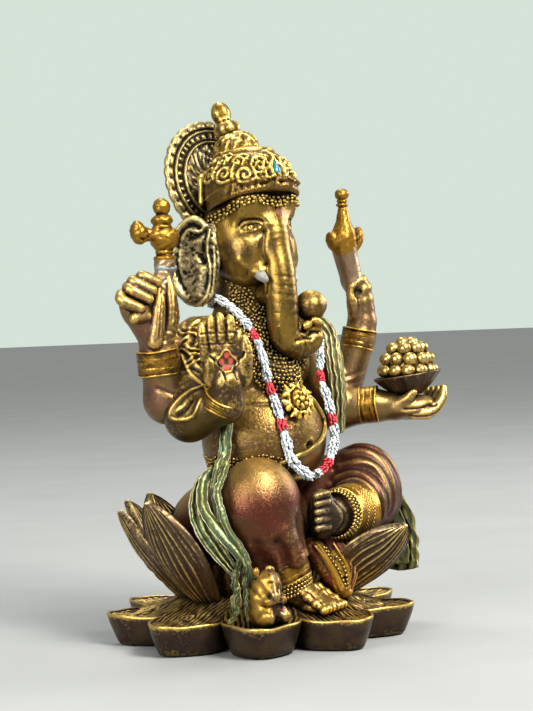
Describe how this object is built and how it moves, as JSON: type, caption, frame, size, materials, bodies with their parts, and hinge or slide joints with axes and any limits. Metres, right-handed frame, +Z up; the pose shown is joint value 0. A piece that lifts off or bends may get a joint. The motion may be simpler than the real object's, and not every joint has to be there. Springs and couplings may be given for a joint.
{
  "type": "seated deity figurine",
  "caption": "Small bronze-finish figurine of a seated four-armed elephant-headed deity on a lotus base, with crown, halo, garland, sweets and mouse.",
  "frame": {"origin": "centre of the round felt pad, on the surface that the figurine stands on", "axes": "+Z up; the figure faces -Y; its own left hand is towards +X"},
  "size_m": [0.0596, 0.0519, 0.0922],
  "materials": {
    "bronze": "dark antiqued bronze with olive-gold rubbed highlights",
    "gold": "antique gold, dark in the recesses",
    "cloth": "red-brown bronze with a gold sheen",
    "verdigris": "bronze with green patina and gold edges",
    "garland": "rough white paint with red bands",
    "turquoise": "glossy blue-green enamel",
    "steel": "plain drawn wire",
    "felt": "black felt"
  },
  "bodies": {
    "root": {"felt_pad": "felt", "lotus_base": "bronze", "seat_pod": "bronze", "seat_pin": "steel", "neck_pin": "steel", "torso": "bronze", "right_leg": "cloth", "left_leg": "cloth", "right_foot": "bronze", "left_foot": "bronze", "head": "bronze", "trunk_sweet": "bronze", "right_tusk": "bronze", "left_tusk": "bronze", "right_ear": "bronze", "left_ear": "bronze", "crown": "gold", "crown_topknot": "gold", "crown_finial": "gold", "crown_jewel": "turquoise", "halo": "bronze", "rear_right_arm": "bronze", "front_right_arm": "bronze", "rear_left_arm": "bronze", "front_left_arm": "bronze", "elephant_goad": "gold", "lotus_staff": "gold", "sweet_bowl": "bronze", "sweet_heap": "bronze", "rear_right_bracelet": "gold", "rear_left_bracelet": "gold", "front_right_bracelet": "gold", "front_left_bracelet": "gold", "right_anklet": "gold", "left_anklet": "gold", "sun_pendant": "gold", "garland": "garland", "bead_collar": "bronze", "belly_cord": "bronze", "left_shawl": "verdigris", "right_scarf": "verdigris", "scarf_tail": "verdigris", "apron": "cloth", "mouse": "gold", "outer_petal_1": "bronze", "outer_petal_2": "bronze", "outer_petal_3": "bronze", "outer_petal_4": "bronze", "outer_petal_5": "bronze", "outer_petal_6": "bronze", "outer_petal_7": "bronze", "inner_petal_1": "bronze", "inner_petal_2": "bronze", "inner_petal_3": "bronze", "inner_petal_4": "bronze", "inner_petal_5": "bronze"}
  },
  "joints": []
}
